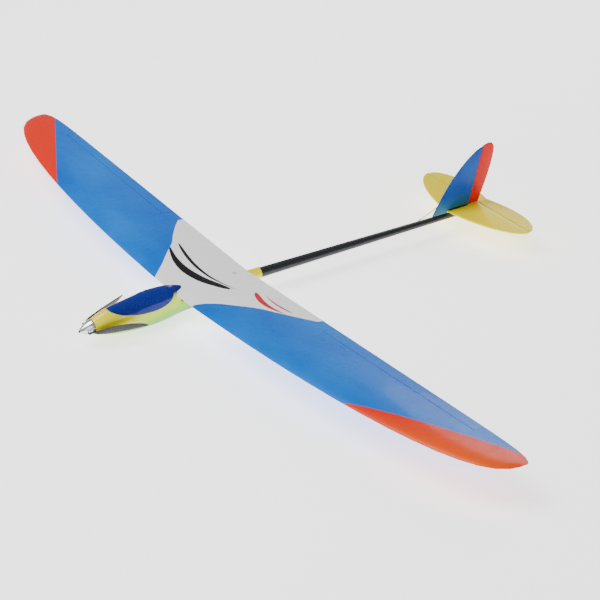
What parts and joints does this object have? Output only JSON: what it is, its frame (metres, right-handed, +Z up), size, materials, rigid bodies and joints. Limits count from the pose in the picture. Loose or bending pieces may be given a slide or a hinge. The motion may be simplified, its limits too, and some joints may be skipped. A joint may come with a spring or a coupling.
{
  "type": "rc sailplane",
  "caption": "Electric RC glider with a slim pod and boom, folding propeller, bolt-on wing with ailerons, lift-off canopy, and hinged elevator and rudder.",
  "frame": {"origin": "centre of the flat belly face under the pod", "axes": "+X to the nose along the boom, +Y to the left wing tip, +Z up"},
  "size_m": [0.9218, 1.6488, 0.1691],
  "materials": {
    "blue_film": "glossy heat-shrink covering film",
    "yellow_film": "glossy heat-shrink covering film",
    "fin_film": "glossy heat-shrink covering film",
    "red_film": "glossy heat-shrink covering film",
    "pod_shell": "glossy gel coat fading to green",
    "canopy_shell": "glossy metallic paint",
    "carbon": "satin carbon fibre",
    "aluminium": "polished",
    "steel": "bright",
    "black_plastic": "moulded",
    "white_nylon": "moulded",
    "servo_case": "moulded",
    "plywood": "sanded plywood",
    "battery_wrap": "shrink wrap",
    "windings": "enamelled wire",
    "strap": "woven hook and loop"
  },
  "bodies": {
    "airframe": {"pod_shell": "pod_shell", "tail_boom": "carbon", "wing_panel_left": "blue_film", "wing_panel_right": "blue_film", "wing_joiner": "carbon", "wing_dowel": "carbon", "wing_bolt": "white_nylon", "wing_bolt_block": "plywood", "stab_saddle": "black_plastic", "stabiliser": "yellow_film", "fin": "fin_film", "firewall": "plywood", "motor_base": "aluminium", "motor_screw_1": "steel", "motor_screw_2": "steel", "motor_stator": "windings", "aileron_servo_left": "servo_case", "aileron_servo_right": "servo_case", "servo_tray": "plywood", "elevator_servo": "servo_case", "rudder_servo": "servo_case", "equipment_tray": "plywood", "battery": "battery_wrap", "battery_strap": "strap", "receiver": "black_plastic", "speed_controller": "black_plastic"},
    "propeller_drive": {"spinner_cone": "aluminium", "spinner_backplate": "aluminium", "spinner_screw": "black_plastic", "prop_adapter": "aluminium", "blade_yoke": "aluminium", "blade_pin_left": "steel", "blade_pin_right": "steel", "motor_bell": "steel", "motor_shaft": "steel"},
    "folding_blade_left": {"blade_left": "carbon"},
    "folding_blade_right": {"blade_right": "carbon"},
    "canopy": {"canopy": "canopy_shell"},
    "aileron_left": {"aileron_left": "blue_film", "aileron_horn_left": "white_nylon"},
    "aileron_right": {"aileron_right": "blue_film", "aileron_horn_right": "white_nylon"},
    "aileron_servo_arm_left": {"aileron_servo_arm_left": "white_nylon"},
    "aileron_servo_arm_right": {"aileron_servo_arm_right": "white_nylon"},
    "aileron_pushrod_left": {"aileron_pushrod_left": "steel"},
    "aileron_pushrod_right": {"aileron_pushrod_right": "steel"},
    "elevator": {"elevator": "yellow_film", "elevator_horn": "white_nylon"},
    "elevator_servo_arm": {"elevator_servo_arm": "white_nylon"},
    "elevator_pushrod": {"elevator_pushrod": "steel"},
    "rudder": {"rudder": "red_film", "rudder_horn": "white_nylon"},
    "rudder_servo_arm": {"rudder_servo_arm": "white_nylon"},
    "rudder_pushrod": {"rudder_pushrod": "steel"}
  },
  "joints": [
    {"name": "prop_spin", "type": "hinge", "parent": "airframe", "child": "propeller_drive", "pos_m": [0.107, 0, 0.0295], "axis": [0.9962, 0, -0.0872], "continuous": true},
    {"name": "blade_left_fold", "type": "hinge", "parent": "propeller_drive", "child": "folding_blade_left", "pos_m": [0.11483, 0.01139, 0.02721], "axis": [-0.0863, -0.1392, -0.9865], "range_deg": [0, 74]},
    {"name": "blade_right_fold", "type": "hinge", "parent": "propeller_drive", "child": "folding_blade_right", "pos_m": [0.11511, -0.01139, 0.0304], "axis": [0.0863, 0.1392, 0.9865], "range_deg": [0, 74]},
    {"name": "canopy_lift", "type": "slide", "parent": "airframe", "child": "canopy", "axis": [0, 0, 1], "range_m": [0, 0.06]},
    {"name": "aileron_left_hinge", "type": "hinge", "parent": "airframe", "child": "aileron_left", "pos_m": [-0.19928, 0.282, 0.05473], "axis": [-0.029, 0.9993, 0.0239], "range_deg": [-20, 20]},
    {"name": "aileron_left_servo_arm_turn", "type": "hinge", "parent": "airframe", "child": "aileron_servo_arm_left", "pos_m": [-0.14067, 0.33, 0.05588], "axis": [0, 1, 0], "range_deg": [-22, 22]},
    {"name": "aileron_left_pushrod_slide", "type": "slide", "parent": "airframe", "child": "aileron_pushrod_left", "axis": [1, 0, 0], "range_m": [-0.0037, 0.0037]},
    {"name": "aileron_right_hinge", "type": "hinge", "parent": "airframe", "child": "aileron_right", "pos_m": [-0.19928, -0.282, 0.05473], "axis": [0.029, 0.9993, -0.0239], "range_deg": [-20, 20]},
    {"name": "aileron_right_servo_arm_turn", "type": "hinge", "parent": "airframe", "child": "aileron_servo_arm_right", "pos_m": [-0.14067, -0.33, 0.05588], "axis": [0, 1, 0], "range_deg": [-22, 22]},
    {"name": "aileron_right_pushrod_slide", "type": "slide", "parent": "airframe", "child": "aileron_pushrod_right", "axis": [1, 0, 0], "range_m": [-0.0037, 0.0037]},
    {"name": "elevator_hinge", "type": "hinge", "parent": "airframe", "child": "elevator", "pos_m": [-0.756, 0, 0.0462], "axis": [0, 1, 0], "range_deg": [-20, 20]},
    {"name": "elevator_servo_arm_turn", "type": "hinge", "parent": "airframe", "child": "elevator_servo_arm", "pos_m": [-0.062, -0.0045, 0.0344], "axis": [0, 0, 1], "range_deg": [-24, 24]},
    {"name": "elevator_pushrod_slide", "type": "slide", "parent": "airframe", "child": "elevator_pushrod", "axis": [1, 0, 0], "range_m": [-0.0034, 0.0034]},
    {"name": "rudder_hinge", "type": "hinge", "parent": "airframe", "child": "rudder", "pos_m": [-0.731, 0, 0.0473], "axis": [-0.2654, 0, 0.9641], "range_deg": [-25, 25]},
    {"name": "rudder_servo_arm_turn", "type": "hinge", "parent": "airframe", "child": "rudder_servo_arm", "pos_m": [-0.1, 0.0045, 0.0344], "axis": [0, 0, 1], "range_deg": [-33, 33]},
    {"name": "rudder_pushrod_slide", "type": "slide", "parent": "airframe", "child": "rudder_pushrod", "axis": [1, 0, 0], "range_m": [-0.0046, 0.0046]}
  ],
  "couplings": [
    {"joint": "aileron_left_servo_arm_turn", "follows": "aileron_left_hinge", "ratio": 1},
    {"joint": "aileron_left_pushrod_slide", "follows": "aileron_left_hinge", "m_per_rad": -0.01},
    {"joint": "aileron_right_servo_arm_turn", "follows": "aileron_right_hinge", "ratio": 1},
    {"joint": "aileron_right_pushrod_slide", "follows": "aileron_right_hinge", "m_per_rad": -0.01},
    {"joint": "elevator_servo_arm_turn", "follows": "elevator_hinge", "ratio": 1.1375},
    {"joint": "elevator_pushrod_slide", "follows": "elevator_hinge", "m_per_rad": -0.0091},
    {"joint": "rudder_servo_arm_turn", "follows": "rudder_hinge", "ratio": 1.2413},
    {"joint": "rudder_pushrod_slide", "follows": "rudder_hinge", "m_per_rad": 0.00993}
  ]
}
